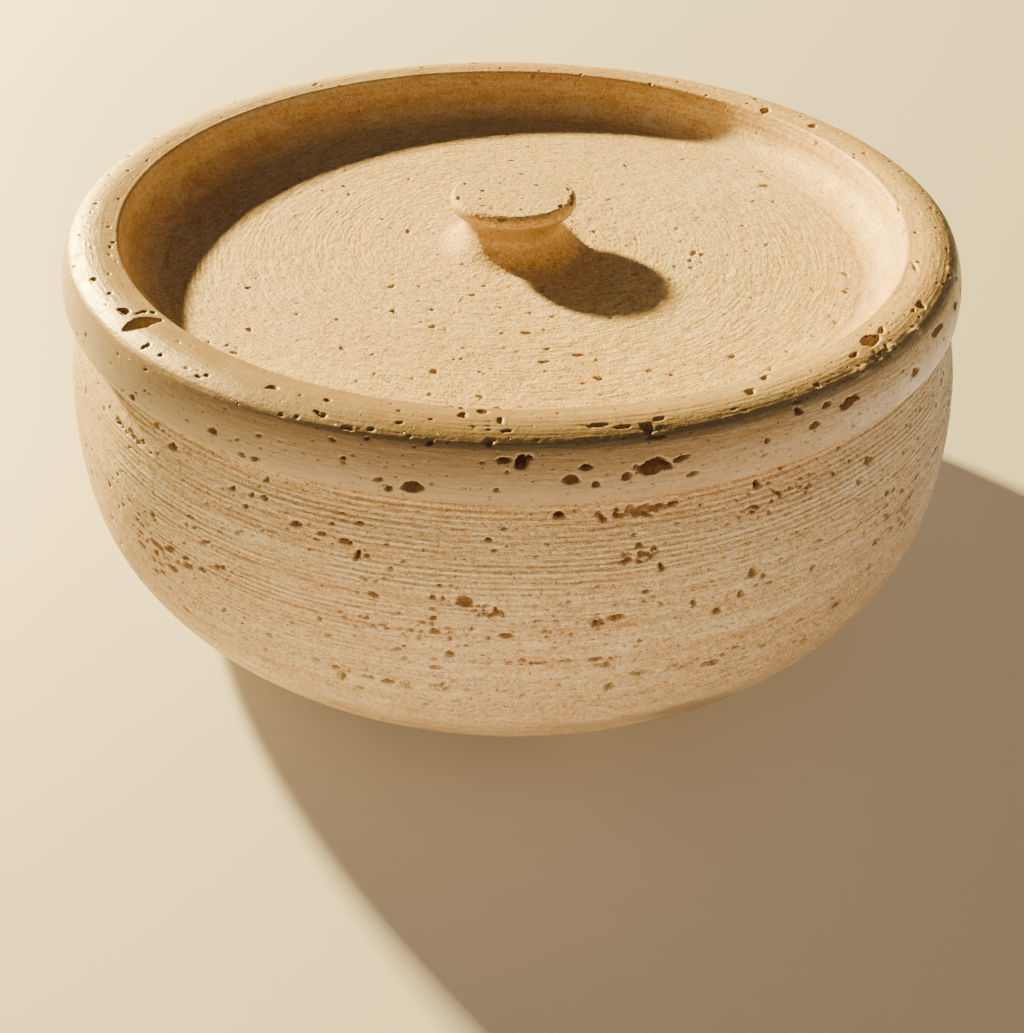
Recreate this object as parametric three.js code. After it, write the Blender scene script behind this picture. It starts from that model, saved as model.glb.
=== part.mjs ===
// Lidded stone bowl for go stones, turned on a lathe from two blocks of travertine.
//
// Two loose pieces: the bowl, and a lid that drops into its mouth. The lid is one solid with a
// thick rounded rim, a sunk plate and a mushroom-shaped knob in the middle of the plate.
// Units are millimetres, +Z is up, and the origin is the centre of the foot's underside.

import * as THREE from "three";

// ---- Driving dimensions ------------------------------------------------------------------

const TURNING_STEPS = 64; // flats around each turned surface

// Bowl, outside
const FOOT_RADIUS = 50; // flat underside that the bowl stands on
const BELLY_RADIUS = 80; // widest circle of the whole object
const BELLY_HEIGHT = 29;
const BOWL_HEIGHT = 57.9; // flat rim that carries the lid
const BOWL_RIM_RADIUS = 74.4; // outer edge of that rim
const BOWL_RIM_ROUND = 0.6; // rounding of the rim's two edges
const WALL_LEAN = 2.6; // the higher, the later the wall turns inwards above the belly

// Bowl, inside
const WALL_AT_BELLY = 7.5;
const MOUTH_RADIUS = 69;
const FLOOR_THICKNESS = 8.5;
const FLOOR_RADIUS = 44; // flat part of the floor

// Lid against bowl
const SEAT_GAP = 0.3; // between the lid's seat and the bowl's rim
const SPIGOT_CLEARANCE = 1; // between the lid's spigot and the bowl's mouth

// Lid
const LID_RADIUS = 76.7; // widest circle of the rounded rim
const LID_WIDEST_HEIGHT = 60; // a quarter round below it runs under to the seat
const LID_SIDE_ROUND = 12.5; // the rim above it is three arcs, each tangent to the next
const LID_SIDE_END = 29; // slope where the side meets the shoulder, in degrees
const LID_SHOULDER_ROUND = 2.4;
const LID_SHOULDER_END = 65; // slope where the shoulder meets the crown, in degrees
const LID_CROWN_ROUND = 9;
const LID_CROWN_END = 96; // slope where the crown turns straight, just inside the crest
const RECESS_RADIUS = 66.6; // wall around the sunk plate, at its top
const RECESS_DRAFT = 0.3; // how much nearer the axis the wall is at its foot
const RECESS_EDGE_ROUND = 0.6; // edge between the rim's top and that wall
const RECESS_EDGE_HEIGHT = 67.5; // highest point of that edge
const RECESS_FILLET = 5.7; // between the wall and the plate
const PLATE_HEIGHT = 59.1; // upper face of the sunk plate
const PLATE_THICKNESS = 6.6;
const SPIGOT_EDGE_ROUND = 1.5; // lower edge of the spigot

// Knob
const KNOB_RADIUS = 11;
const KNOB_HEIGHT = 9.4; // above the plate
const KNOB_CAP_THICKNESS = 2.9;
const KNOB_EDGE_WIDTH = 1.2; // radial width of the cap's rounded edge
const NECK_RADIUS = 8.6; // narrowest circle of the neck
const NECK_FILLET = 5; // concave sweep from the neck into the plate

const TRAVERTINE = 0xd8bf98;

// ---- Outline helpers ---------------------------------------------------------------------

const degrees = THREE.MathUtils.degToRad;

// Points along an elliptical arc, from one angle to another, both ends included.
function arc(centreR, centreZ, radiusR, radiusZ, fromDegrees, toDegrees, steps) {
  const points = [];
  for (let i = 0; i <= steps; i++) {
    const angle = degrees(THREE.MathUtils.lerp(fromDegrees, toDegrees, i / steps));
    points.push([centreR + radiusR * Math.cos(angle), centreZ + radiusZ * Math.sin(angle)]);
  }
  return points;
}

// Arcs that follow each other smoothly, from a point where the outline faces the first angle.
// Each is [radius, angle it ends at, steps]. The starting point itself is left out.
function tangentArcs(start, firstAngle, arcs) {
  const points = [start];
  let angle = firstAngle;
  for (const [radius, end, steps] of arcs) {
    const [r, z] = points.at(-1);
    const centreR = r - radius * Math.cos(degrees(angle));
    const centreZ = z - radius * Math.sin(degrees(angle));
    points.push(...arc(centreR, centreZ, radius, radius, angle, end, steps).slice(1));
    angle = end;
  }
  return points.slice(1);
}

// Side of a bowl between its widest circle and its rim: vertical at the belly, leaning in above it.
// The belly's own point is left out, because the arc below ends on it.
function flank(bellyR, bellyZ, rimR, rimZ, steps) {
  const points = [];
  for (let i = 1; i <= steps; i++) {
    const t = i / steps;
    const r = THREE.MathUtils.lerp(bellyR, rimR, t ** WALL_LEAN);
    points.push([r, THREE.MathUtils.lerp(bellyZ, rimZ, t)]);
  }
  return points;
}

// A solid of revolution about Z from an outline that starts and ends on the axis.
function turned(name, outline) {
  const profile = outline.map(([r, z]) => new THREE.Vector2(r, z));
  const geometry = new THREE.LatheGeometry(profile, TURNING_STEPS);
  geometry.rotateX(Math.PI / 2);
  const material = new THREE.MeshStandardMaterial({ color: TRAVERTINE, roughness: 0.6, metalness: 0 });
  const mesh = new THREE.Mesh(geometry, material);
  mesh.name = name;
  return mesh;
}

// ---- Bowl --------------------------------------------------------------------------------

function makeBowl() {
  const round = BOWL_RIM_ROUND;
  const innerBelly = BELLY_RADIUS - WALL_AT_BELLY;

  const outside = [
    [0, 0],
    ...arc(FOOT_RADIUS, BELLY_HEIGHT, BELLY_RADIUS - FOOT_RADIUS, BELLY_HEIGHT, -90, 0, 10),
    ...flank(BELLY_RADIUS, BELLY_HEIGHT, BOWL_RIM_RADIUS, BOWL_HEIGHT - round, 7),
  ];
  const rim = [
    ...arc(BOWL_RIM_RADIUS - round, BOWL_HEIGHT - round, round, round, 30, 90, 2),
    ...arc(MOUTH_RADIUS + round, BOWL_HEIGHT - round, round, round, 90, 150, 2),
  ];
  const inside = [
    ...flank(innerBelly, BELLY_HEIGHT, MOUTH_RADIUS, BOWL_HEIGHT - round, 5).reverse(),
    ...arc(
      FLOOR_RADIUS, BELLY_HEIGHT, innerBelly - FLOOR_RADIUS, BELLY_HEIGHT - FLOOR_THICKNESS, 0, -90, 8,
    ),
    [0, FLOOR_THICKNESS],
  ];
  return turned("bowl", [...outside, ...rim, ...inside]);
}

// ---- Lid ---------------------------------------------------------------------------------

function makeLid() {
  const seat = BOWL_HEIGHT + SEAT_GAP;
  const underside = PLATE_HEIGHT - PLATE_THICKNESS;
  const spigotRadius = MOUTH_RADIUS - SPIGOT_CLEARANCE;
  const lipRound = LID_WIDEST_HEIGHT - seat;
  const wallFootRadius = RECESS_RADIUS - RECESS_DRAFT;

  const spigot = [
    [0, underside],
    ...arc(
      spigotRadius - SPIGOT_EDGE_ROUND, underside + SPIGOT_EDGE_ROUND,
      SPIGOT_EDGE_ROUND, SPIGOT_EDGE_ROUND, -90, 0, 3,
    ),
    [spigotRadius, seat],
  ];
  const lip = arc(LID_RADIUS - lipRound, LID_WIDEST_HEIGHT, lipRound, lipRound, -90, 0, 3);
  const roundedRim = tangentArcs([LID_RADIUS, LID_WIDEST_HEIGHT], 0, [
    [LID_SIDE_ROUND, LID_SIDE_END, 4],
    [LID_SHOULDER_ROUND, LID_SHOULDER_END, 3],
    [LID_CROWN_ROUND, LID_CROWN_END, 3],
  ]);
  const recessEdge = arc(
    RECESS_RADIUS + RECESS_EDGE_ROUND, RECESS_EDGE_HEIGHT - RECESS_EDGE_ROUND,
    RECESS_EDGE_ROUND, RECESS_EDGE_ROUND, 104, 180, 2,
  );
  const recessFillet = arc(
    wallFootRadius - RECESS_FILLET, PLATE_HEIGHT + RECESS_FILLET, RECESS_FILLET, RECESS_FILLET, 0, -90, 5,
  );
  const capUnderside = PLATE_HEIGHT + KNOB_HEIGHT - KNOB_CAP_THICKNESS;
  const capHalf = KNOB_CAP_THICKNESS / 2;
  const waistHeight = PLATE_HEIGHT + NECK_FILLET;
  const capEdgeCentre = KNOB_RADIUS - KNOB_EDGE_WIDTH;
  const knob = [
    ...arc(NECK_RADIUS + NECK_FILLET, waistHeight, NECK_FILLET, NECK_FILLET, -90, -180, 5),
    ...arc(
      capEdgeCentre, waistHeight, capEdgeCentre - NECK_RADIUS, capUnderside - waistHeight, 180, 90, 3,
    ).slice(1),
    ...arc(capEdgeCentre, capUnderside + capHalf, KNOB_EDGE_WIDTH, capHalf, -90, 90, 6).slice(1),
    [0, PLATE_HEIGHT + KNOB_HEIGHT],
  ];
  return turned("lid", [...spigot, ...lip, ...roundedRim, ...recessEdge, ...recessFillet, ...knob]);
}

// ---- Assembly ----------------------------------------------------------------------------

const goBowl = new THREE.Group();
goBowl.add(makeBowl(), makeLid());

export default goBowl;
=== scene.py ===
"""Lidded travertine bowl for go stones: the bowl and its lid as finely detailed turned stone.

Each piece is a skin of rings around the Z axis, close enough together to carry the turning
grooves, the pores and the chipped edges as real shape. Lengths inside this file are millimetres,
and MM turns them into the frame's metres.
"""

import math

import bpy
import numpy as np
from mathutils import Matrix, Vector


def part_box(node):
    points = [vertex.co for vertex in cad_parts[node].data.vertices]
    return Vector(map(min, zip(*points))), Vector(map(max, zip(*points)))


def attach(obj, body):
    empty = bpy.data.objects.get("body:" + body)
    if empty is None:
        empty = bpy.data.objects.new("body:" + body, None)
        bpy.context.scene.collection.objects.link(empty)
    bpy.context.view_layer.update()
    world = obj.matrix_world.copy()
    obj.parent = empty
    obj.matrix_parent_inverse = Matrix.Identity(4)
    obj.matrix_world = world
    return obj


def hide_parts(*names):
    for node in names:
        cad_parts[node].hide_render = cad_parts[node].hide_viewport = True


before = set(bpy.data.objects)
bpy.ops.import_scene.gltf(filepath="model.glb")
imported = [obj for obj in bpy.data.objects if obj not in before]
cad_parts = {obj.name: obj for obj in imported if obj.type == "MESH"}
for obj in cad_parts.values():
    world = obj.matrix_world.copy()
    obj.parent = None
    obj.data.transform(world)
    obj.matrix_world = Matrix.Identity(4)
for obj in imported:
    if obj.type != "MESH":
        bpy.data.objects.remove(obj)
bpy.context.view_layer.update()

MM = 0.001
TURN = 2 * math.pi

# ---- Sizes -------------------------------------------------------------------------------

BOWL_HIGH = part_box("bowl")[1] / MM
LID_LOW, LID_HIGH = (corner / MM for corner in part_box("lid"))

BELLY_RADIUS = BOWL_HIGH.x
BOWL_HEIGHT = BOWL_HIGH.z
BELLY_HEIGHT = 29.0
FOOT_RADIUS = 50.0
FINE_FROM_HEIGHT = 22.0  # the grooved part of the wall starts here
BOWL_RIM_RADIUS = 74.4
BOWL_RIM_ROUND = 0.6
WALL_LEAN = 2.6  # the higher, the later the wall turns inwards above the belly
WALL_AT_BELLY = 7.5
MOUTH_RADIUS = 69.0
FLOOR_THICKNESS = 8.5
FLOOR_RADIUS = 44.0

LID_RADIUS = LID_HIGH.x
LID_UNDERSIDE = LID_LOW.z
SEAT_GAP = 0.3
SEAT_HEIGHT = BOWL_HEIGHT + SEAT_GAP
SPIGOT_CLEARANCE = 1.0
SPIGOT_RADIUS = MOUTH_RADIUS - SPIGOT_CLEARANCE
SPIGOT_EDGE_ROUND = 1.5
LID_DRIFT = -0.4  # the loose lid sits a little to the left of the bowl's centre
SIDE_ROUND = 12.5  # the rounded rim is three arcs, each tangent to the next
SIDE_END = 29.0
SHOULDER_ROUND = 2.4
SHOULDER_END = 65.0
CROWN_ROUND = 9.0
CROWN_END = 96.0
WIDEST_HEIGHT = 60.0
LIP_ROUND = WIDEST_HEIGHT - SEAT_HEIGHT  # a quarter round from the seat out to the widest circle
RECESS_RADIUS = 66.6
RECESS_DRAFT = 0.3  # how much nearer the axis the recess's wall is at its foot
RECESS_EDGE_ROUND = 0.6
RECESS_EDGE_TOP = 67.5
RECESS_FILLET = 5.7
PLATE_HEIGHT = 59.1
KNOB_TOP = 68.5
KNOB_RADIUS = 11.0
KNOB_CAP_THICKNESS = 2.9
KNOB_EDGE_WIDTH = 1.2
NECK_RADIUS = 8.6
NECK_FILLET = 5.0

POINTS_AROUND = 1600  # on the widest rings; rings nearer the axis have fewer
FINE = 0.2  # between rings where the surface is grooved
MEDIUM = 0.3
COARSE = 1.2
CURVE_STEPS = 60  # points along each curve of an outline, before the rings are spaced out on it


# ---- Outlines ----------------------------------------------------------------------------

def arc(centre_r, centre_z, radius_r, radius_z, start, end):
    """Close points along an elliptical arc between two angles in degrees."""
    angle = np.radians(np.linspace(start, end, CURVE_STEPS))
    return np.stack([centre_r + radius_r * np.cos(angle), centre_z + radius_z * np.sin(angle)], 1)


def flank(belly_r, belly_z, rim_r, rim_z):
    """A wall that is vertical at the belly and leans in towards the rim."""
    t = np.linspace(0, 1, CURVE_STEPS)
    return np.stack([belly_r - (belly_r - rim_r) * t ** WALL_LEAN, belly_z + (rim_z - belly_z) * t], 1)


def line(start, end):
    return np.array([start, end], float)


def chain(*parts):
    """Several curves, each starting where the one before it ends, as one list of points."""
    return np.concatenate([parts[0]] + [part[1:] for part in parts[1:]])


def tangent_arcs(start, first_angle, arcs):
    """Arcs that follow each other smoothly from a point. Each is (radius, angle where it ends)."""
    made, point, angle = [], np.array(start, float), first_angle
    for radius, end in arcs:
        centre = point - radius * np.array([math.cos(math.radians(angle)), math.sin(math.radians(angle))])
        made.append(arc(centre[0], centre[1], radius, radius, angle, end))
        point, angle = made[-1][-1], end
    return chain(*made)


def bowl_outline():
    """Stretches of the bowl's outline, from the middle of the foot round to the middle of the floor.
    Each is (name, spacing of its rings, points)."""
    round_, inner = BOWL_RIM_ROUND, BELLY_RADIUS - WALL_AT_BELLY
    rim_z = BOWL_HEIGHT - round_
    outside = chain(
        arc(FOOT_RADIUS, BELLY_HEIGHT, BELLY_RADIUS - FOOT_RADIUS, BELLY_HEIGHT, -90, 0),
        flank(BELLY_RADIUS, BELLY_HEIGHT, BOWL_RIM_RADIUS, rim_z),
    )
    low = outside[:, 1] <= FINE_FROM_HEIGHT
    rim = chain(
        line((BOWL_RIM_RADIUS, rim_z), (BOWL_RIM_RADIUS, rim_z)),
        arc(BOWL_RIM_RADIUS - round_, rim_z, round_, round_, 0, 90),
        arc(MOUTH_RADIUS + round_, rim_z, round_, round_, 90, 180),
    )
    inside = chain(
        flank(inner, BELLY_HEIGHT, MOUTH_RADIUS, rim_z)[::-1],
        arc(FLOOR_RADIUS, BELLY_HEIGHT, inner - FLOOR_RADIUS, BELLY_HEIGHT - FLOOR_THICKNESS, 0, -90),
    )
    return [
        ("foot", COARSE, line((0, 0), (FOOT_RADIUS, 0))),
        ("base", MEDIUM, np.concatenate([outside[low], outside[~low][:1]])),
        ("wall", FINE, outside[~low]),
        ("rim", MEDIUM, rim),
        ("inside", MEDIUM * 2, inside),
        ("floor", MEDIUM * 2, line((FLOOR_RADIUS, FLOOR_THICKNESS), (0, FLOOR_THICKNESS))),
    ]


def rounded_rim():
    """The lid's thick rim, from its lip over the crest to the recess's arris."""
    lip = arc(LID_RADIUS - LIP_ROUND, WIDEST_HEIGHT, LIP_ROUND, LIP_ROUND, -90, 0)
    arcs = [(SIDE_ROUND, SIDE_END), (SHOULDER_ROUND, SHOULDER_END), (CROWN_ROUND, CROWN_END)]
    over = tangent_arcs((LID_RADIUS, WIDEST_HEIGHT), 0, arcs)
    edge_r = RECESS_RADIUS + RECESS_EDGE_ROUND
    edge = arc(edge_r, RECESS_EDGE_TOP - RECESS_EDGE_ROUND, RECESS_EDGE_ROUND, RECESS_EDGE_ROUND, 104, 180)
    return chain(lip, over, line(over[-1], edge[0]), edge)


def lid_outline():
    """Stretches of the lid's outline, from the middle of its underside round to the knob's top."""
    spigot = chain(
        line((0, LID_UNDERSIDE), (SPIGOT_RADIUS - SPIGOT_EDGE_ROUND, LID_UNDERSIDE)),
        arc(
            SPIGOT_RADIUS - SPIGOT_EDGE_ROUND, LID_UNDERSIDE + SPIGOT_EDGE_ROUND,
            SPIGOT_EDGE_ROUND, SPIGOT_EDGE_ROUND, -90, 0,
        ),
        line((SPIGOT_RADIUS, LID_UNDERSIDE + SPIGOT_EDGE_ROUND), (SPIGOT_RADIUS, SEAT_HEIGHT)),
    )
    rim = rounded_rim()
    wall_foot = RECESS_RADIUS - RECESS_DRAFT
    wall = chain(
        line(rim[-1], (wall_foot, PLATE_HEIGHT + RECESS_FILLET)),
        arc(
            wall_foot - RECESS_FILLET, PLATE_HEIGHT + RECESS_FILLET,
            RECESS_FILLET, RECESS_FILLET, 0, -90,
        ),
    )
    waist = PLATE_HEIGHT + NECK_FILLET
    under_cap = KNOB_TOP - KNOB_CAP_THICKNESS
    edge_r, half_cap = KNOB_RADIUS - KNOB_EDGE_WIDTH, KNOB_CAP_THICKNESS / 2
    neck = chain(
        arc(NECK_RADIUS + NECK_FILLET, waist, NECK_FILLET, NECK_FILLET, -90, -180),
        arc(edge_r, waist, edge_r - NECK_RADIUS, under_cap - waist, 180, 90),
        arc(edge_r, under_cap + half_cap, KNOB_EDGE_WIDTH, half_cap, -90, 90),
    )
    return [
        ("underside", MEDIUM * 2, spigot),
        ("seat", MEDIUM, line((SPIGOT_RADIUS, SEAT_HEIGHT), rim[0])),
        ("rounded_rim", FINE, rim),
        ("recess_wall", MEDIUM, wall),
        ("plate", MEDIUM, line(wall[-1], neck[0])),
        ("neck", FINE, neck),
        ("cap", FINE, line(neck[-1], (0, KNOB_TOP))),
    ]


# ---- Noise -------------------------------------------------------------------------------

def lattice(x, y, z, seed):
    """A repeatable random number from -1 to 1 for each whole-numbered point."""
    h = x * 73856093 ^ y * 19349663 ^ z * 83492791 ^ seed * 2654435761
    h = (h ^ (h >> 13)) & 0xFFFFFFFF
    h = (h * 1274126177) & 0xFFFFFFFF
    h = h ^ (h >> 16)
    return (h & 0xFFFF) / 32767.5 - 1


def noise(points, size, seed):
    """Smooth noise from -1 to 1 with features about as large as size, one number or one per axis."""
    p = points / np.asarray(size, float) + 1000
    cell = np.floor(p).astype(np.int64)
    f = p - cell
    f = f * f * f * (f * (f * 6 - 15) + 10)
    total = np.zeros(len(p))
    for dx in (0, 1):
        wx = f[:, 0] if dx else 1 - f[:, 0]
        for dy in (0, 1):
            wy = wx * (f[:, 1] if dy else 1 - f[:, 1])
            for dz in (0, 1):
                wz = wy * (f[:, 2] if dz else 1 - f[:, 2])
                total += wz * lattice(cell[:, 0] + dx, cell[:, 1] + dy, cell[:, 2] + dz, seed)
    return total


def cloud(points, size, seed, octaves=3):
    """Noise with finer and fainter noise added to it."""
    total, weight, scale = 0, 1.0, np.asarray(size, float)
    for octave in range(octaves):
        total = total + weight * noise(points, scale, seed + octave)
        weight, scale = weight * 0.5, scale * 0.47
    return total / 1.6


def ramp(x, low, high):
    """0 below low, 1 above high and smooth between them."""
    t = np.clip((x - low) / (high - low), 0, 1)
    return t * t * (3 - 2 * t)


# ---- A skin of rings ---------------------------------------------------------------------

class Skin:
    """Points on rings around Z, in the order of an outline that starts and ends on the axis."""

    def __init__(self, outline, coarse):
        rows, zones = [], []
        for name, spacing, points in outline:
            length = np.r_[0, np.cumsum(np.linalg.norm(np.diff(points, axis=0), axis=1))]
            steps = max(1, round(length[-1] / spacing))
            at = np.linspace(0, length[-1], steps + 1)
            rows.append(np.stack([np.interp(at, length, points[:, k]) for k in (0, 1)], 1)[:-1])
            zones += [name] * steps
        rows.append(points[-1:])
        zones.append(outline[-1][0])
        rows = np.concatenate(rows)
        self.zone = np.array(zones)
        self.r, self.z = rows[:, 0], rows[:, 1]
        self.s = np.r_[0, np.cumsum(np.linalg.norm(np.diff(rows, axis=0), axis=1))]
        self.count = self.counts(coarse)
        self.start = np.r_[0, np.cumsum(self.count)[:-1]]
        self.ring = np.repeat(np.arange(len(rows)), self.count)
        self.azimuth = (np.arange(len(self.ring)) - self.start[self.ring]) * TURN / self.count[self.ring]
        tangent = np.gradient(rows, self.s, axis=0)
        tangent /= np.linalg.norm(tangent, axis=1)[:, None]
        self.point = self.spun(self.r, self.z)
        self.normal = self.spun(tangent[:, 1], -tangent[:, 0])
        self.relief = np.zeros(len(self.ring))  # how far the surface stands above the outline
        self.lines = np.zeros(len(self.ring))  # the part of it that is turning lines
        self.hole = np.zeros(len(self.ring))  # how deep the pores and chips go
        # hollow darkens the colour inside pores and chips: partly iron staining, partly painted shade
        self.hollow = np.zeros(len(self.ring))  # 1 inside them, up to 2 where they are dark
        # Low grit also greys and darkens the colour: honed stone, and painted shade on the lid rim's
        # front-left and at the knob's waist.
        self.grit = np.zeros(len(self.ring))  # 0 where honed smooth, 1 where rough, above 1 where raw
        self.edges = cloud(self.point, 0.8, 11, 2)  # makes the outline of a hole ragged

    def counts(self, coarse):
        """How many points each ring has: halved near the axis and where no detail is needed."""
        halvings = np.floor(np.log2(BELLY_RADIUS / np.maximum(self.r, 1.3)))
        halvings += np.where(np.isin(self.zone, coarse), 1, 0)
        halvings[[0, -1]] = 0
        inner = range(1, len(halvings) - 1)
        for order in (inner, reversed(inner)):
            last = None
            for i in order:
                if last is not None:
                    halvings[i] = min(halvings[i], last + 1)
                last = halvings[i]
        count = (POINTS_AROUND / 2 ** halvings).astype(int)
        count[[0, -1]] = 1
        return count

    def spun(self, r, z):
        """One vector for each point from a radial and an upright part for each ring."""
        return np.stack([
            r[self.ring] * np.cos(self.azimuth), r[self.ring] * np.sin(self.azimuth), z[self.ring],
        ], 1)

    def near(self, azimuth, s, reach):
        """The points near a place, and how far each is from it along its ring and across the rings."""
        first, end = np.searchsorted(self.s, [s - reach, s + reach])
        cuts = [first, *(np.flatnonzero(np.diff(self.count[first:end])) + first + 1), end]
        for low, high in zip(cuts, cuts[1:]):
            if high <= low or self.count[low] < 8:
                continue
            count, rings = self.count[low], np.arange(low, high)
            half = min(reach / max(self.r[low:high].min(), 0.5), math.pi * 0.98)
            low_j, high_j = (azimuth - half) * count / TURN, (azimuth + half) * count / TURN
            j = np.arange(math.floor(low_j), math.ceil(high_j))
            index = self.start[rings][:, None] + j[None, :] % count
            along = (j * TURN / count - azimuth)[None, :] * self.r[rings][:, None]
            across = np.repeat((self.s[rings] - s)[:, None], len(j), 1)
            yield index.ravel(), along.ravel(), across.ravel()

    def faces(self):
        """Quads, with triangles where a ring has half as many points as its neighbour."""
        quads, triangles = [], []
        for i in range(len(self.count) - 1):
            a, b = self.start[i], self.start[i + 1]
            n, m = self.count[i], self.count[i + 1]
            j = np.arange(max(n, m) if 1 in (n, m) else min(n, m))
            if n == m:
                k = (j + 1) % n
                quads.append(np.stack([a + j, a + k, b + k, b + j], 1))
            elif n == 1:
                triangles.append(np.stack([a + 0 * j, b + (j + 1) % m, b + j], 1))
            elif m == 1:
                triangles.append(np.stack([a + j, a + (j + 1) % n, b + 0 * j], 1))
            elif n == 2 * m:
                p, q, w, k = a + 2 * j, a + 2 * j + 1, a + (2 * j + 2) % n, b + (j + 1) % m
                triangles += [np.stack(t, 1) for t in ((p, q, b + j), (b + j, q, k), (q, w, k))]
            else:
                p, q, w, k = b + 2 * j, b + 2 * j + 1, b + (2 * j + 2) % m, a + (j + 1) % n
                triangles += [np.stack(t, 1) for t in ((p, a + j, q), (a + j, k, q), (k, w, q))]
        return np.concatenate(quads), np.concatenate(triangles)

    def build(self, name):
        """The finished mesh object, in metres, with the attributes that its material reads."""
        height = self.relief + self.lines - self.hole
        points = (self.point + self.normal * height[:, None]) * MM
        quads, triangles = self.faces()
        mesh = bpy.data.meshes.new(name)
        mesh.vertices.add(len(points))
        mesh.vertices.foreach_set("co", points.astype(np.float32).ravel())
        corners = np.concatenate([quads.ravel(), triangles.ravel()]).astype(np.int32)
        mesh.loops.add(len(corners))
        mesh.loops.foreach_set("vertex_index", corners)
        sizes = np.r_[np.full(len(quads), 4), np.full(len(triangles), 3)]
        mesh.polygons.add(len(sizes))
        mesh.polygons.foreach_set("loop_start", np.r_[0, np.cumsum(sizes)[:-1]].astype(np.int32))
        mesh.update(calc_edges=True)
        mesh.shade_smooth()
        for key, values in (("hollow", self.hollow), ("grit", self.grit), ("ridge", self.lines)):
            attribute = mesh.attributes.new(key, "FLOAT", "POINT")
            attribute.data.foreach_set("value", values.astype(np.float32))
        piece = bpy.data.objects.new(name, mesh)
        bpy.context.scene.collection.objects.link(piece)
        return piece


# ---- Wear and pores ----------------------------------------------------------------------

def zone_start(skin, zone):
    return skin.s[np.flatnonzero(skin.zone == zone)[0]]


def zone_end(skin, zone):
    return skin.s[np.flatnonzero(skin.zone == zone)[-1]]


def on_zones(skin, *zones):
    """1 at points on these zones, 0 elsewhere, fading over a millimetre of the outline."""
    inside = np.isin(skin.zone, zones).astype(float)
    step = np.median(np.diff(skin.s))
    kernel = np.hanning(max(3, int(1.0 / step)) + 2)
    soft = np.convolve(np.pad(inside, len(kernel), mode="edge"), kernel / kernel.sum(), "same")
    return soft[len(kernel):-len(kernel)][skin.ring]


def rings_of(skin, pitch, seed):
    """Tool marks that run right round: ridges and grooves from -1 to 1, pitch apart."""
    rng = np.random.default_rng(seed)
    steps = rng.uniform(0.3, 1, int(skin.s[-1] / pitch * 2) + 4)
    steps[1::2] *= -1
    wander = 0.3 * noise(skin.point, 40, seed)
    at = (skin.s[skin.ring] + wander) / (pitch / 2)
    low = np.clip(np.floor(at).astype(int), 0, len(steps) - 2)
    f = np.clip(at - low, 0, 1)
    f = f * f * (3 - 2 * f)
    return steps[low] * (1 - f) + steps[low + 1] * f


def carve(skin, azimuth, s, width, height, depth, tilt=0.0, ragged=0.4, power=2.0, stain_and_shade=1.0):
    """A hole in the stone: width along the turning direction, height across it, walls steep.
    A power of 1 makes its outline a diamond, 2 an ellipse and 4 nearly a rectangle."""
    reach = 0.85 * max(width, height) + 0.5
    c, w = math.cos(tilt), math.sin(tilt)
    seed = int(abs(azimuth * 1000) + s * 7)
    for index, along, across in skin.near(azimuth, s, reach):
        u = np.abs(along * c + across * w) / (width / 2)
        v = np.abs(across * c - along * w) / (height / 2)
        lobes = noise(skin.point[index], 0.35 * min(width, height) + 0.4, seed)
        edge = 0.7 * skin.edges[index] + 0.6 * lobes
        out = (u ** power + v ** power) ** (1 / power) + ragged * edge
        hole = (1 - ramp(out, 0.82, 1.0)) * (1 + 0.4 * edge) * (1 - 0.35 * np.clip(out, 0, 1) ** 2)
        skin.hole[index] = np.maximum(skin.hole[index], hole * depth)
        # The darkening inside the hole is partly iron staining and partly painted shade.
        skin.hollow[index] = np.maximum(skin.hollow[index], stain_and_shade * (1 - ramp(out, 0.76, 0.94)))


def crumble(skin, azimuth, s, width, height, amount):
    """A stretch of broken edge: small crumbs that stand a little proud, and dips between them."""
    for index, along, across in skin.near(azimuth, s, 0.6 * width + 0.5):
        out = np.hypot(along / (width / 2), across / (height / 2)) + 0.3 * skin.edges[index]
        crumbs = 0.3 * skin.edges[index] + cloud(skin.point[index], 1.6, 61, 2)
        skin.relief[index] += amount * (1 - ramp(out, 0.4, 1.0)) * (crumbs + 0.2)


def void(skin, azimuth, s, width, height, depth, tilt, rng, ragged=0.45, stain_and_shade=1.0):
    """A larger opening: one hole with a few smaller ones that break its outline."""
    power = rng.uniform(1.1, 2.0)
    carve(skin, azimuth, s, width, height, depth, tilt, ragged, power, stain_and_shade)
    r = float(np.interp(s, skin.s, skin.r))
    for _ in range(3 if max(width, height) > 1.3 else 1):
        along = rng.uniform(-0.5, 0.5) * width
        across = rng.uniform(-0.3, 0.3) * height
        size = rng.uniform(0.25, 0.45)
        carve(
            skin, azimuth + along / r, s + across, width * size, height * size * 1.2,
            depth * rng.uniform(0.4, 0.9), tilt + rng.normal(0, 0.5), ragged, power,
        )


def scatter(skin, zones, number, width, height, seed, clumping=1.0, stain_and_shade=1.0):
    """Random pores on some zones: crowded in the porous beds, rare in the dense ones."""
    rng = np.random.default_rng(seed)
    low, high = zone_start(skin, zones[0]), zone_end(skin, zones[-1])
    for _ in range(number):
        s = rng.uniform(low, high)
        azimuth = rng.uniform(-math.pi, math.pi)
        ring = min(int(np.searchsorted(skin.s, s)), len(skin.s) - 1)
        r = skin.r[ring]
        place = np.array([[r * math.cos(azimuth), r * math.sin(azimuth), skin.z[ring]]])
        bed = 0.5 + 0.5 * clumping * cloud(place, (30, 30, 6), 71, 2)[0] * 1.8
        keep = rng.random() < bed and rng.random() < r / BELLY_RADIUS
        size = math.exp(rng.normal(0, 0.5))
        power = rng.uniform(1.1, 2.6)
        shape = rng.uniform(0.75, 1.5)
        tilt = rng.normal(0, 0.25)
        if keep:
            across = height * size / shape
            depth = min(0.8 * across, 1.2) + 0.1
            carve(skin, azimuth, s, width * size * shape, across, depth, tilt, 0.35, power, stain_and_shade)


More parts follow.
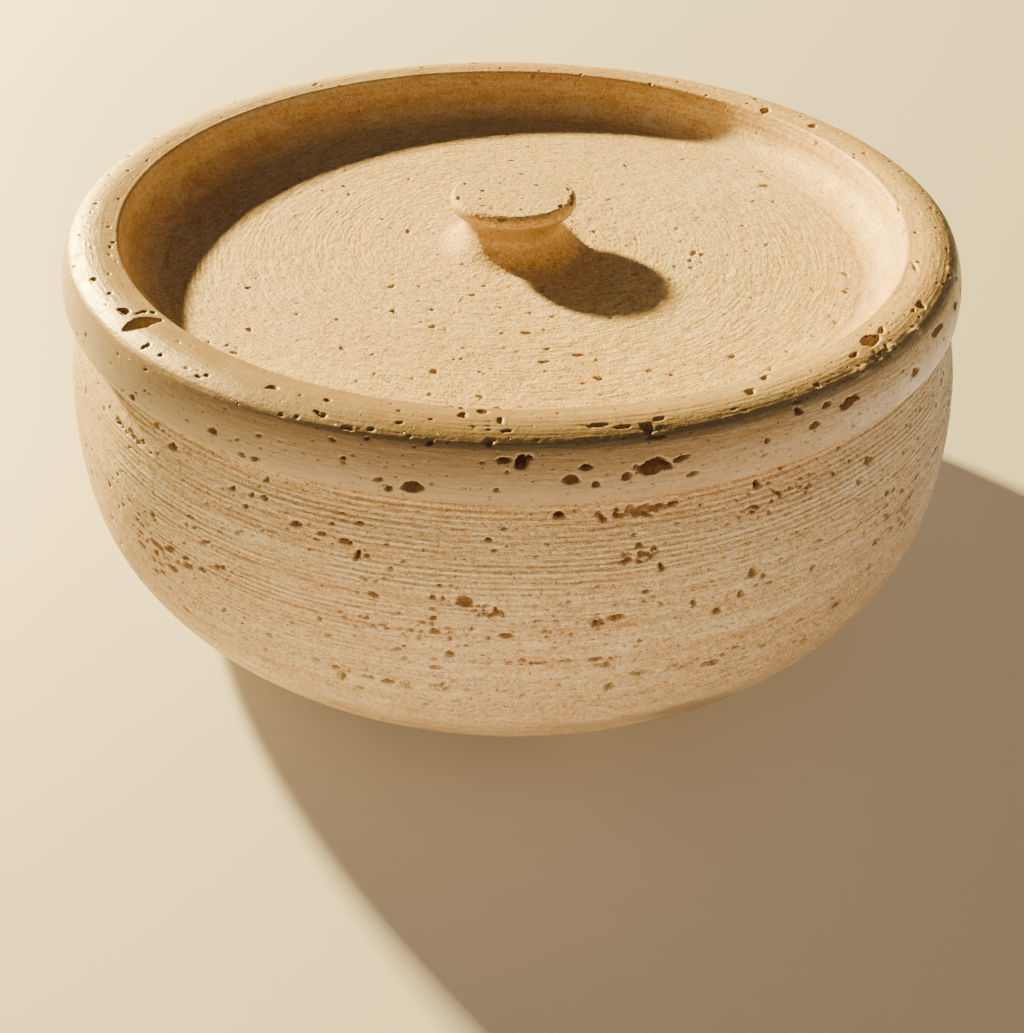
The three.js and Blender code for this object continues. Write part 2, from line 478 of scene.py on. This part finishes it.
def cluster(skin, degrees, s, half_width, half_height, number, size, seed):
    """A patch of close small pores around a place."""
    rng = np.random.default_rng(seed)
    r = np.interp(s, skin.s, skin.r)
    for _ in range(number):
        azimuth = math.radians(degrees) + rng.normal(0, 0.5) * half_width / r
        across = size * rng.uniform(0.5, 1.0)
        place = s + rng.normal(0, 0.5) * half_height
        along = across * rng.uniform(1.0, 2.2)
        carve(skin, azimuth, place, along, across * 0.8, 0.7 * across + 0.1, rng.normal(0, 0.4))


# The larger openings on the bowl's wall: (azimuth in degrees, height, width, tallness, tilt).
BOWL_VOIDS = [
    (-130, 54.5, 1.7, 1.2, 0), (-127.3, 38, 2.0, 1.1, 15), (-124.7, 37.8, 1.8, 0.8, 35),
    (-120.5, 53, 1.0, 0.7, 30), (-118, 53.2, 1.0, 0.9, 0), (-116.3, 53.3, 1.2, 0.8, -20),
    (-118.6, 51.3, 0.8, 0.6, 0), (-105.6, 48.8, 0.9, 2.2, -20), (-104.5, 49, 0.7, 0.6, 0),
    (-109.7, 37.2, 1.0, 0.8, 0), (-97.6, 41, 1.0, 0.7, 0), (-90.4, 38.8, 1.8, 0.7, 0),
    (-102.6, 27.7, 2.6, 1.0, 5), (-108.4, 28.4, 1.2, 0.8, 0), (-92.3, 53, 1.0, 0.5, 0),
    (-91.7, 51.6, 0.9, 0.7, 0), (-91.5, 42.8, 0.7, 1.7, 0), (-81.3, 40.3, 2.6, 0.7, 25),
    (-79.4, 41, 2.4, 1.0, 5), (-71.2, 41.4, 0.9, 1.7, -10), (-68.6, 38.8, 1.4, 1.2, 0),
    (-56.4, 40.5, 1.3, 1.1, 0), (-76.5, 44.6, 0.9, 0.8, 0), (-74.9, 48, 0.7, 1.6, 15),
    (-77, 50.3, 1.1, 1.0, 30), (-85.2, 56.1, 1.5, 1.0, 0), (-63.5, 56, 1.9, 1.4, 0),
    (-67.5, 52, 0.8, 0.4, 20), (-61.8, 28.5, 1.2, 0.9, 0), (-68.5, 28.7, 3.4, 1.0, -10),
    (-81.3, 33.9, 2.2, 0.5, 0), (-87.3, 33.8, 2.2, 0.4, 0), (-76.8, 36.3, 0.8, 0.7, 0),
    (-44.3, 45.6, 1.6, 1.0, -15), (-42.9, 45.2, 1.1, 0.6, 0), (-38.2, 41, 1.7, 1.1, 20),
    (-38.4, 35.3, 1.3, 1.1, 0), (-55.3, 25, 1.7, 0.7, -35), (-52, 23.5, 1.5, 0.8, -35),
    (35, 44, 3.2, 1.0, 8), (62, 31, 2.0, 1.4, -10), (88, 49, 4.0, 0.9, 4), (121, 37, 1.8, 1.5, 0),
    (149, 28, 3.0, 0.8, -6), (171, 46, 1.6, 1.1, 12), (12, 33, 1.5, 1.2, 0), (104, 26, 2.4, 0.8, 5),
]

# Patches of close pores on the bowl's wall: (azimuth, height, half width, half height, number, size).
BOWL_PATCHES = [
    (-138, 52.2, 7, 0.8, 16, 0.9), (-131, 36, 8, 3.5, 26, 1.2), (-99, 28.2, 7, 0.7, 14, 0.8),
    (-100, 38, 10, 2.5, 24, 0.7), (-92.5, 42.5, 3, 1.3, 12, 0.9), (-77, 50, 3.5, 1.5, 12, 0.9),
    (-70, 29.8, 9, 1.2, 24, 0.8), (-88, 33.8, 11, 0.8, 16, 0.7), (-84, 40, 7, 3, 18, 0.7),
    (-77, 56, 6, 1.0, 24, 1.1), (-40, 39, 7, 3, 18, 1.0), (-60, 54, 9, 1.8, 18, 0.7),
    (20, 50, 9, 2, 20, 0.9), (70, 36, 12, 2, 30, 0.8), (112, 53, 10, 1.5, 22, 0.9),
    (140, 42, 9, 3, 24, 0.9), (165, 33, 11, 1.5, 22, 0.8), (-10, 45, 8, 2, 18, 0.9),
]

# The larger openings on the lid's rounded rim: (azimuth, distance up from its widest circle, width,
# tallness, tilt).
RIM_VOIDS = [
    (-142.5, 11.0, 2.1, 1.3, -15), (-141.1, 12.6, 0.6, 2.6, 12),
    (-140.6, 14.2, 1.1, 0.9, 0), (-134.3, 8.8, 0.8, 2.0, -8), (-134.5, 0.6, 1.6, 0.9, 0),
    (-116.5, 11.3, 1.9, 0.8, 35), (-109.3, 8.8, 0.9, 0.8, 0), (-101.7, 0.3, 1.3, 0.9, 0),
    (-99.3, 1.0, 3.0, 1.7, 8), (-116.4, 0.1, 1.2, 0.9, 0), (-117.8, 0.1, 1.2, 0.8, -20),
    (-106.3, 3.7, 0.9, 0.5, 0), (-95, 12.6, 1.1, 1.7, 0), (-93, 14.0, 1.8, 1.3, -20),
    (-91, 11.7, 0.7, 1.9, 0), (-92, 7.8, 0.9, 1.2, 0), (-88.8, 5.5, 1.8, 2.0, 0),
    (-90.6, 5.6, 1.5, 0.7, 0), (-82.7, 4.4, 1.9, 0.8, 0), (-81.7, 2.0, 1.0, 0.8, 0),
    (-76, 8.8, 1.4, 2.1, 0), (-74.4, 10.2, 1.8, 0.7, 8), (-81, 10.2, 3.0, 0.6, 0),
    (-78.5, 9.5, 2.2, 0.6, 0), (-75.5, 7.5, 2.2, 0.7, 0), (-76, 3.7, 4.4, 2.0, 12),
    (-73.1, 4.2, 2.4, 0.6, 15), (-78.7, 2.8, 1.3, 1.0, 20), (-72, 1.7, 1.6, 0.6, 5),
    (-63, 11.7, 2.1, 1.2, 30), (-59.5, 14.0, 1.9, 0.8, 40), (-59.4, 6.7, 1.3, 1.3, 0),
    (-59.2, 7.8, 1.5, 0.6, 0), (-57.4, 3.9, 2.0, 0.8, 0), (-63.6, 4.0, 1.1, 0.7, 20),
    (-52.3, 5.0, 4.8, 1.2, 10), (-55.5, 6.0, 2.1, 0.6, 5), (-39.8, 3.1, 2.3, 1.2, -5),
    (-43.3, 11.5, 4.2, 2.2, 0), (-47.6, 10.8, 1.7, 0.8, 10),
    (-40.3, 11.8, 2.2, 0.9, 25), (-31.6, 10.0, 1.7, 1.9, -30), (-33.6, 10.5, 1.0, 0.8, 0),
    (-32.4, 5.7, 4.6, 0.9, -5), (-24.8, 4.8, 2.7, 1.2, -8), (-21.3, 13.6, 4.2, 0.7, 20),
    (31, 13.0, 1.8, 1.6, 0), (41, 14.2, 2.2, 2.6, 20), (45, 11.0, 1.6, 1.0, 0),
    (68, 4.0, 3.0, 1.4, 8), (97, 10.5, 2.2, 1.2, -15), (133, 6.0, 2.6, 1.1, 5), (160, 9.0, 1.6, 1.5, 0),
]

CREST_DISTANCE = 7.0  # openings further up than this are shallow, by this factor
SHALLOW = 0.4

# The almond-shaped opening in the crest: (azimuth, distance up, width, tallness, depth, tilt).
ALMOND = (-138.7, 11.4, 3.3, 6.2, 3.2, -12)

# How dark the stone is inside an opening, from iron staining and from painted shade, where 1 is an ordinary
# pore.
VOID_STAIN_AND_SHADE = 1.5
ALMOND_STAIN_AND_SHADE = 1.9

# Small pits and nicks on the knob's cap, and how deep they are: (azimuth, radius, width,
# tallness, tilt).
KNOB_DEPTH = 0.35
KNOB_VOIDS = [
    (-150, 6.5, 0.8, 0.5, 0), (-118, 8.0, 0.6, 0.5, 20), (-80, 7.4, 0.9, 0.5, -10),
    (-35, 9.9, 1.6, 1.0, 10), (-20, 10.6, 2.2, 1.1, 0), (-8, 10.3, 1.4, 0.9, 0),
    (35, 5.0, 0.6, 0.5, 0), (80, 7.8, 1.0, 0.5, 15), (125, 4.2, 0.7, 0.4, 0),
    (160, 9.0, 0.8, 0.6, 0), (-60, 3.2, 0.5, 0.4, 0), (-100, 10.7, 1.5, 0.7, 0),
]

# Broken stretches of the shoulder and of the recess's arris: (azimuth, distance up, width,
# tallness, how rough).
RIM_CHIPS = [
    (-43.8, 8.7, 7.0, 3.2, 0.34), (-49.0, 8.3, 4.5, 2.0, 0.26), (-37.0, 8.3, 6.0, 2.0, 0.24),
    (-75.0, 8.3, 4.0, 1.6, 0.20), (-93.0, 8.2, 3.0, 1.4, 0.16), (-20.0, 8.2, 4.0, 1.5, 0.20),
    (32.0, 12.5, 4.5, 3.0, 0.28), (42.0, 13.6, 6.0, 3.6, 0.36), (118, 8.4, 4.0, 1.6, 0.24),
    (-160, 8.3, 3.0, 1.6, 0.16), (80, 8.4, 3.0, 1.5, 0.22),
]

# Fine lines turned into the top of the rounded rim: (distance up from its widest circle, depth).
RIM_LINES = [(10.3, 0.018), (11.1, 0.024), (12.3, 0.030), (14.4, 0.024)]


def add_grit(skin, grit):
    """The uneven, sugary surface of cut travertine; grit is one number per point."""
    skin.grit = grit
    skin.relief += grit * (0.07 * cloud(skin.point, 0.7, 21, 2) + 0.06 * cloud(skin.point, 3.5, 24, 2))


def streaks(skin, along, across, seed):
    """Noise stretched along the turning direction, from -1 to 1."""
    place = np.stack([40 * np.cos(skin.azimuth), 40 * np.sin(skin.azimuth), skin.s[skin.ring]], 1)
    return cloud(place, (along, along, across), seed, 2)


def bump_at(value, middle, spread):
    """1 at the middle, falling away smoothly on both sides."""
    return np.exp(-((value - middle) / spread) ** 2)


def side(skin, degrees, spread):
    """1 on one side of the axis, falling away smoothly as the azimuth leaves it both ways round."""
    away = (skin.azimuth - math.radians(degrees) + math.pi) % TURN - math.pi
    return bump_at(np.degrees(away), 0, spread)


def groove_strength(skin):
    """Where the turning grooves on the bowl's wall are deep: in patches that come round again."""
    height = skin.z[skin.ring]
    sides = sum(side(skin, middle, 24) for middle in (-118, -33, 55, 140))
    upper = 0.55 * ramp(height, 42, 48)
    broken = ramp(noise(skin.point, (16, 16, 1.7), 34), -0.6, 0.3)
    return broken * ramp(height, 23, 30) * np.clip(0.12 + 0.88 * sides * ramp(height, 26, 36) + upper, 0, 1)


def sugary(skin):
    """1 on the torn, crystalline stretches of the bowl's wall, where the tool left no clean surface."""
    height = skin.z[skin.ring]
    sides = sum(side(skin, middle, 26) for middle in (-76, 15, 100, 172))
    return sides * ramp(height, 17, 23) * (1 - ramp(height, 40, 47))


def bowl_details(skin):
    wall = on_zones(skin, "wall", "base")
    inner = on_zones(skin, "inside", "floor")
    flat = on_zones(skin, "rim")
    height = skin.z[skin.ring]
    honed = 1 - ramp(height, 17, 24)
    patchy = 0.75 + 0.35 * cloud(skin.point, 14, 33, 2)
    add_grit(skin, (wall * patchy + 1.5 * inner + 0.7 * flat) * (1 - 0.45 * honed * wall))
    skin.lines += wall * groove_strength(skin) * 0.12 * rings_of(skin, 0.85, 5)
    skin.lines += wall * 0.02 * rings_of(skin, 1.9, 6)
    skin.lines += inner * 0.04 * rings_of(skin, 2.4, 7)
    skin.relief += wall * sugary(skin) * 0.10 * cloud(skin.point, (1.1, 1.1, 0.8), 36, 2)
    wall_s = skin.s[skin.zone == "wall"]
    wall_z = skin.z[skin.zone == "wall"]
    rng = np.random.default_rng(8)
    for degrees, z, width, tallness, tilt in BOWL_VOIDS:
        s = float(np.interp(z, wall_z, wall_s))
        depth = 0.5 + 0.8 * min(width, tallness)
        turn = math.radians(tilt)
        void(skin, math.radians(degrees), s, width, tallness, depth, turn, rng, 0.45, VOID_STAIN_AND_SHADE)
    for number, (degrees, z, half_width, half_height, many, size) in enumerate(BOWL_PATCHES):
        s = float(np.interp(z, wall_z, wall_s))
        cluster(skin, degrees, s, half_width, half_height, many, size, 100 + number)
    scatter(skin, ["wall"], 3600, 0.5, 0.36, 41)
    scatter(skin, ["base"], 350, 0.45, 0.32, 42)
    scatter(skin, ["rim"], 160, 0.6, 0.4, 44)
    scatter(skin, ["inside", "floor"], 700, 1.0, 0.7, 43)


def lid_surface(skin):
    """Grain and turning lines of each part of the lid."""
    rim = on_zones(skin, "rounded_rim")
    plate = on_zones(skin, "plate")
    wall = on_zones(skin, "recess_wall")
    neck = on_zones(skin, "neck")
    cap = on_zones(skin, "cap")
    under = on_zones(skin, "underside", "seat")
    # Lower grit on the rim's front-left side, which greys and darkens it: partly a honed finish, partly
    # painted shade on that side.
    honed = side(skin, -125, 62)
    above_plate = skin.z[skin.ring] - PLATE_HEIGHT
    # The knob's waist under the cap gets lower grit and so a darker grey: partly a smoother finish, partly
    # painted shade under the cap.
    waist = ramp(above_plate, 0.5, 5.0) * (1 - ramp(above_plate, 7.2, 8.6))
    knob = (0.9 - 0.6 * waist) * neck + 0.7 * cap
    add_grit(skin, (0.42 - 0.2 * honed) * rim + plate + 0.5 * wall + knob + 1.2 * under)
    skin.relief += (plate + 0.5 * cap) * 0.08 * streaks(skin, 3.0, 0.9, 37)
    broken = ramp(noise(skin.point, 11, 34), -0.7, 0.4)
    skin.lines += plate * broken * 0.055 * rings_of(skin, 0.95, 15)
    skin.lines += rim * 0.012 * rings_of(skin, 0.8, 16)
    skin.lines += wall * 0.03 * rings_of(skin, 1.2, 17)


def rim_lines(skin, widest):
    up = skin.s[skin.ring] - widest
    for middle, depth in RIM_LINES:
        faint = ramp(noise(skin.point, 25, round(middle * 10)), -0.4, 0.6)
        skin.relief -= depth * faint * bump_at(up, middle, 0.25)


def lid_details(skin):
    lid_surface(skin)
    widest = zone_start(skin, "rounded_rim") + LIP_ROUND * math.pi / 2
    rim_lines(skin, widest)
    rng = np.random.default_rng(9)
    for degrees, above, width, tallness, tilt in RIM_VOIDS:
        depth = 0.3 + min(width, tallness)
        depth *= SHALLOW if above > CREST_DISTANCE else 1.0
        turn = math.radians(tilt)
        void(skin, math.radians(degrees), widest + above, width, tallness, depth, turn, rng, 0.3)
    for degrees, above, width, tallness, amount in RIM_CHIPS:
        crumble(skin, math.radians(degrees), widest + above, width, tallness, amount)
    degrees, above, width, tallness, depth, tilt = ALMOND
    place = math.radians(degrees), widest + above
    carve(skin, *place, width, tallness, depth, math.radians(tilt), 0.12, 1.4, ALMOND_STAIN_AND_SHADE)
    cap_top = zone_end(skin, "cap")
    for degrees, radius, width, tallness, tilt in KNOB_VOIDS:
        turn = math.radians(tilt)
        void(skin, math.radians(degrees), cap_top - radius, width, tallness, KNOB_DEPTH, turn, rng, 0.4)
    scatter(skin, ["rounded_rim"], 1300, 0.42, 0.3, 51)
    scatter(skin, ["plate"], 3000, 0.5, 0.32, 52, 1.0, 0.1)
    scatter(skin, ["recess_wall"], 120, 0.6, 0.4, 53)
    scatter(skin, ["underside"], 400, 1.1, 0.8, 54)
    scatter(skin, ["neck", "cap"], 420, 0.5, 0.4, 55, 0.3)


# ---- Materials ---------------------------------------------------------------------------

BUMP_HEIGHT = 0.00035  # metres


class Nodes:
    """Short calls for building a material's node tree."""

    def __init__(self, name):
        self.material = bpy.data.materials.new(name)
        self.material.use_nodes = True
        self.tree = self.material.node_tree
        self.shader = self.tree.nodes["Principled BSDF"]

    def add(self, kind, inputs=(), **settings):
        node = self.tree.nodes.new(kind)
        for key, value in settings.items():
            setattr(node, key, value)
        for key, value in dict(inputs).items():
            self.feed(node.inputs[key], value)
        return node

    def feed(self, socket, value):
        if isinstance(value, bpy.types.NodeSocket):
            self.tree.links.new(value, socket)
        else:
            socket.default_value = value

    def math(self, operation, a, b=0.0, clamp=False):
        return self.add("ShaderNodeMath", {0: a, 1: b}, operation=operation, use_clamp=clamp).outputs[0]

    def scaled(self, vector, scale):
        node = self.add("ShaderNodeVectorMath", {0: vector, 1: scale}, operation="MULTIPLY")
        return node.outputs[0]

    def noise(self, vector, scale, detail, roughness=0.5):
        inputs = {"Vector": vector, "Scale": scale, "Detail": detail, "Roughness": roughness}
        return self.add("ShaderNodeTexNoise", inputs).outputs["Fac"]

    def turning(self, mm):
        """Coordinates stretched along the turning direction, so that a noise read there runs in rings."""
        flat = self.scaled(mm, (1, 1, 0))
        radius = self.add("ShaderNodeVectorMath", {0: flat}, operation="LENGTH").outputs["Value"]
        heading = self.add("ShaderNodeVectorMath", {0: flat}, operation="NORMALIZE").outputs[0]
        height = self.add("ShaderNodeSeparateXYZ", {0: mm}).outputs["Z"]
        across = self.math("MULTIPLY", self.math("SUBTRACT", height, radius), 1.4)
        rings = self.add("ShaderNodeCombineXYZ", {"Z": across}).outputs[0]
        return self.add("ShaderNodeVectorMath", {0: self.scaled(heading, (14, 14, 0)), 1: rings}).outputs[0]

    def between(self, value, low, high, to_low=0.0, to_high=1.0):
        inputs = {"Value": value, "From Min": low, "From Max": high, "To Min": to_low, "To Max": to_high}
        return self.add("ShaderNodeMapRange", inputs, interpolation_type="SMOOTHSTEP").outputs["Result"]

    def mix(self, factor, a, b, blend="MIX"):
        node = self.add("ShaderNodeMix", data_type="RGBA", blend_type=blend)
        self.feed(node.inputs["Factor"], factor)
        self.feed(node.inputs["A"], a)
        self.feed(node.inputs["B"], b)
        return node.outputs["Result"]

    def ramp(self, value, stops):
        node = self.add("ShaderNodeValToRGB", {"Fac": value})
        elements = node.color_ramp.elements
        while len(elements) < len(stops):
            elements.new(0.5)
        for element, (position, colour) in zip(elements, stops):
            element.position = position
            element.color = colour
        return node.outputs["Color"]


def colour(red, green, blue):
    """A linear colour from one given on a 0 to 255 display scale."""
    def linear(value):
        value /= 255
        return value / 12.92 if value <= 0.04045 else ((value + 0.055) / 1.055) ** 2.4
    return linear(red), linear(green), linear(blue), 1.0


def bedded(n, mm):
    """The stone's own colour: level beds of cream and tan, with warm blotches."""
    beds = n.noise(n.scaled(mm, (0.012, 0.012, 0.34)), 1.0, 6, 0.6)
    blotch = n.noise(mm, 0.06, 4, 0.55)
    tones = [
        (0.30, colour(214, 175, 129)), (0.45, colour(226, 196, 149)),
        (0.56, colour(236, 211, 166)), (0.70, colour(245, 228, 193)),
    ]
    return n.mix(n.between(blotch, 0.42, 0.70, 0, 0.35), n.ramp(beds, tones), colour(218, 173, 124))


def grained(n, base, mottle, grain, sparkle, grit):
    """Mottle, grain and crystals, fainter where the stone is honed."""
    rough_mix = n.between(grit, 0.0, 0.8, 0.35, 1.0)
    for share, tint in (
        (n.between(mottle, 0.47, 0.66, 0, 0.55), colour(164, 118, 80)),
        (n.between(grain, 0.50, 0.68, 0, 0.60), colour(142, 99, 65)),
        (n.between(grain, 0.46, 0.32, 0, 0.60), colour(255, 251, 228)),
        (n.between(sparkle, 0.35, 0.0, 0, 0.22), colour(170, 125, 85)),
        (n.between(sparkle, 0.65, 1.0, 0, 0.22), colour(255, 253, 238)),
    ):
        base = n.mix(n.math("MULTIPLY", share, rough_mix), base, tint)
    return base


def worked(n, base, turned, grit, ridge):
    """Streaks along the turning direction, darker grey honed stone that is partly painted shade, paler raw
    stone, a painted highlight on ridges, and painted shade and dirt in grooves.
    """
    for share, tint in (
        (n.between(turned, 0.46, 0.32, 0, 0.30), colour(164, 120, 82)),
        (n.between(turned, 0.54, 0.68, 0, 0.30), colour(255, 251, 233)),
        # Low grit turns the stone darker grey: honed stone, and also painted shade on the lid rim's
        # front-left and at the knob's waist.
        (n.between(grit, 0.46, 0.25, 0, 0.78), colour(142, 120, 101)),
        (n.between(grit, 1.1, 1.45, 0, 0.75), colour(230, 219, 204)),
        # Paler on the turning ridges and darker in the grooves: a painted highlight and painted shade, with
        # some dirt in the grooves.
        (n.between(ridge, 0.0, 0.12, 0, 0.26), colour(253, 242, 213)),
        (n.between(ridge, 0.0, -0.12, 0, 0.30), colour(158, 114, 75)),
    ):
        base = n.mix(share, base, tint)
    return base


def fine_pores(n, mm):
    """1 inside pores too small for the mesh."""
    wobble = n.add("ShaderNodeTexNoise", {"Vector": mm, "Scale": 2.0}).outputs["Color"]
    shifted = n.add("ShaderNodeVectorMath", {0: mm, 1: n.scaled(wobble, (0.7, 0.7, 0.7))}).outputs[0]
    cells = n.add("ShaderNodeTexVoronoi", {"Vector": n.scaled(shifted, (0.9, 0.9, 1.4)), "Scale": 1.0})
    lot = n.add("ShaderNodeSeparateColor", {"Color": cells.outputs["Color"]}).outputs[0]
    dot = n.between(cells.outputs["Distance"], 0.10, 0.20, 1, 0)
    return n.math("MULTIPLY", dot, n.between(lot, 0.58, 0.60))


def travertine():
    """Cream and tan stone in level beds, with fine pores, sugary grain, and hollows darkened by iron
    staining and painted shade.
    """
    n = Nodes("travertine")
    place = n.add("ShaderNodeTexCoord").outputs["Object"]
    mm = n.scaled(place, (1000, 1000, 1000))
    hollow, grit, ridge = (
        n.add("ShaderNodeAttribute", attribute_name=key).outputs["Fac"]
        for key in ("hollow", "grit", "ridge")
    )
    mottle = n.noise(n.scaled(mm, (1, 1, 1.3)), 1.1, 3, 0.7)
    grain = n.noise(mm, 4.2, 2, 0.6)
    turned = n.noise(n.turning(mm), 1.0, 3, 0.6)
    crystals = n.add("ShaderNodeTexVoronoi", {"Vector": mm, "Scale": 1.7})
    sparkle = n.add("ShaderNodeSeparateColor", {"Color": crystals.outputs["Color"]}).outputs[1]
    pore = fine_pores(n, mm)

    base = grained(n, bedded(n, mm), mottle, grain, sparkle, grit)
    base = worked(n, base, turned, grit, ridge)
    # Dark dots in pores too small for the mesh: painted shade inside them, with some dirt.
    base = n.mix(n.math("MULTIPLY", pore, 0.4), base, colour(112, 74, 50))
    # Inside pores and chips: a warm brown that is iron staining and painted shade, then near black in the
    # deepest openings, which is painted shade.
    base = n.mix(n.between(hollow, 0.1, 1.0, 0, 0.45), base, colour(176, 132, 92))
    base = n.mix(n.between(hollow, 1.0, 1.8, 0, 0.9), base, colour(46, 30, 20))
    n.feed(n.shader.inputs["Base Color"], base)

    rough_height = n.math("ADD", n.math("MULTIPLY", grain, 0.45), n.math("MULTIPLY", mottle, 0.3))
    rough_height = n.math("SUBTRACT", rough_height, n.math("MULTIPLY", crystals.outputs["Distance"], 0.2))
    rough_height = n.math("ADD", rough_height, n.math("MULTIPLY", turned, 0.9))
    height = n.math("SUBTRACT", n.math("MULTIPLY", rough_height, grit), n.math("MULTIPLY", pore, 1.2))
    bump = n.add("ShaderNodeBump", {"Height": height, "Strength": 1.0, "Distance": BUMP_HEIGHT})
    n.feed(n.shader.inputs["Normal"], bump.outputs["Normal"])

    worn = n.between(n.noise(mm, 0.35, 4), 0.3, 0.7, 0.0, 0.12)
    shine = n.math("ADD", n.between(grit, 0.3, 0.7, 0.33, 0.60), worn)
    n.feed(n.shader.inputs["Roughness"], n.math("ADD", shine, n.math("MULTIPLY", hollow, 0.3), True))
    return n.material


def plain(name, tint, roughness):
    n = Nodes(name)
    n.shader.inputs["Base Color"].default_value = tint
    n.shader.inputs["Roughness"].default_value = roughness
    return n.material


# ---- Pieces ------------------------------------------------------------------------------

def make_piece(name, body, node, outline, coarse, details, material, drift=0.0):
    skin = Skin(outline, coarse)
    details(skin)
    skin.point[:, 0] += drift
    piece = skin.build(name)
    piece.data.materials.append(material)
    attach(piece, body)
    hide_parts(node)
    return piece


def make_floor():
    """A pale table that glows faintly, like one lit all around by a bright room."""
    bpy.ops.mesh.primitive_plane_add(size=8, location=(0, 0, 0))
    floor = bpy.context.object
    floor.name = "floor"
    material = plain("pale_floor", colour(202, 208, 229), 0.6)
    shader = material.node_tree.nodes["Principled BSDF"]
    shader.inputs["Emission Color"].default_value = (1.0, 0.66, 0.30, 1)
    shader.inputs["Emission Strength"].default_value = 0.21
    floor.data.materials.append(material)


# ---- Light and camera --------------------------------------------------------------------

BOUNCE_HEIGHT = 0.002  # metres above the table
LENS = 41.29  # millimetres
ROLL = 0.95  # degrees


def area_light(name, size, power, tint):
    """A flat lamp, size wide and tall, that shines along its own -Z."""
    data = bpy.data.lights.new(name, "AREA")
    data.shape = "RECTANGLE"
    data.size, data.size_y = size
    data.energy = power
    data.color = tint
    lamp = bpy.data.objects.new(name, data)
    bpy.context.scene.collection.objects.link(lamp)
    return lamp


def far_light(name, azimuth, elevation, distance, size, power, tint):
    """A lamp at an angle round and above the object, facing it."""
    lamp = area_light(name, size, power, tint)
    a, e = math.radians(azimuth), math.radians(elevation)
    away = Vector((math.cos(a) * math.cos(e), math.sin(a) * math.cos(e), math.sin(e)))
    lamp.location = away * distance
    lamp.rotation_mode = "QUATERNION"
    lamp.rotation_quaternion = away.to_track_quat("Z", "Y")


def bounce_light(name, place, size, power, tint):
    """Light thrown up by the bright table on the bowl's wall and the underside of the lid's rim."""
    lamp = area_light(name, size, power, tint)
    lamp.location = (*place, BOUNCE_HEIGHT)
    lamp.rotation_euler = (math.pi, 0, 0)
    lamp.visible_camera = False


def make_lights():
    far_light("key", 134, 23, 1.6, (0.10, 0.10), 200, (1.0, 0.70, 0.19))
    far_light("fill", -84, 6, 0.9, (0.9, 0.12), 0.20, (1.0, 0.78, 0.52))
    bounce_light("bounce_front", (0.08, -0.155), (0.5, 0.09), 0.50, (1.0, 0.70, 0.37))
    bounce_light("bounce_right", (0.19, -0.05), (0.12, 0.20), 0.10, (0.86, 0.93, 1.0))
    world = bpy.data.worlds.new("studio")
    world.use_nodes = True
    sky = world.node_tree.nodes["Background"].inputs
    sky["Color"].default_value = (1.0, 0.84, 0.66, 1)
    sky["Strength"].default_value = 0.105
    bpy.context.scene.world = world


def make_camera():
    place = Vector((-0.0004, -0.19653, 0.15272))
    aim = Vector((0.00029, 0, -0.00377))
    data = bpy.data.cameras.new("camera")
    data.lens = LENS
    data.clip_start = 0.01
    camera = bpy.data.objects.new("camera", data)
    camera.location = place
    camera.rotation_mode = "QUATERNION"
    level = (aim - place).to_track_quat("-Z", "Y")
    roll = Matrix.Rotation(math.radians(ROLL), 4, "Z").to_quaternion()
    camera.rotation_quaternion = level @ roll
    bpy.context.scene.collection.objects.link(camera)
    bpy.context.scene.camera = camera


stone = travertine()
make_piece("bowl_stone", "bowl", "bowl", bowl_outline(), ["foot", "inside", "floor"], bowl_details, stone)
make_piece("lid_stone", "lid", "lid", lid_outline(), ["underside"], lid_details, stone, LID_DRIFT)
make_floor()
make_lights()
make_camera()
